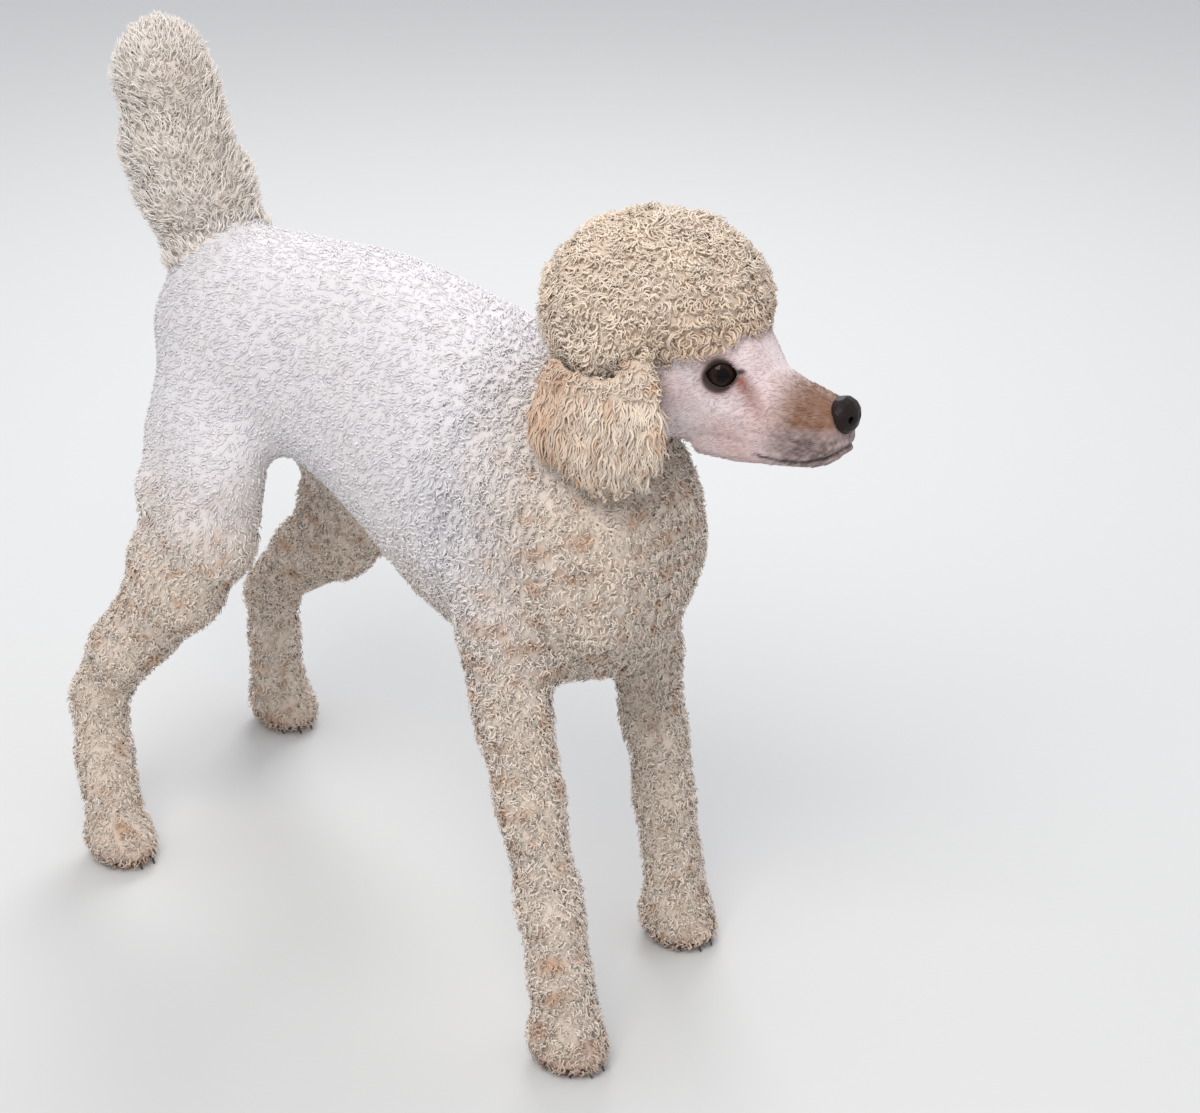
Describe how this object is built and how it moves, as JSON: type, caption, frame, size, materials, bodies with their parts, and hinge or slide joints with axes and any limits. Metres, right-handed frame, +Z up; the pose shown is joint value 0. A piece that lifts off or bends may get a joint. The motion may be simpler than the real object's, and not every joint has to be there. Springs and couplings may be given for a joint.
{
  "type": "standard poodle",
  "caption": "Life-size still model of a standing cream poodle, short body clip, round topknot, hanging ears and a raised brush tail.",
  "frame": {"origin": "on the floor, below the middle of the model's box", "axes": "+X from tail to nose, +Y to the dog's left, +Z up"},
  "size_m": [0.8234, 0.338, 0.7512],
  "materials": {
    "short_coat": "short clipped cream curls",
    "curly_coat": "longer cream curls with apricot roots",
    "ear_coat": "wavy apricot and cream hair",
    "face_coat": "face clipped close, pink skin showing through",
    "nose_leather": "moist dark brown nose leather",
    "eye": "wet and very dark brown",
    "paw": "short curls over pads and dark claws"
  },
  "bodies": {
    "root": {"torso": "short_coat", "neck": "short_coat", "head": "face_coat", "lower_jaw": "face_coat", "nose": "nose_leather", "eye_right": "eye", "eye_left": "eye", "topknot": "curly_coat", "ear_right": "ear_coat", "ear_left": "ear_coat", "tail": "curly_coat", "right_fore_leg": "curly_coat", "right_fore_paw": "paw", "left_fore_leg": "curly_coat", "left_fore_paw": "paw", "right_hind_leg": "curly_coat", "right_hind_paw": "paw", "left_hind_leg": "curly_coat", "left_hind_paw": "paw"}
  },
  "joints": []
}
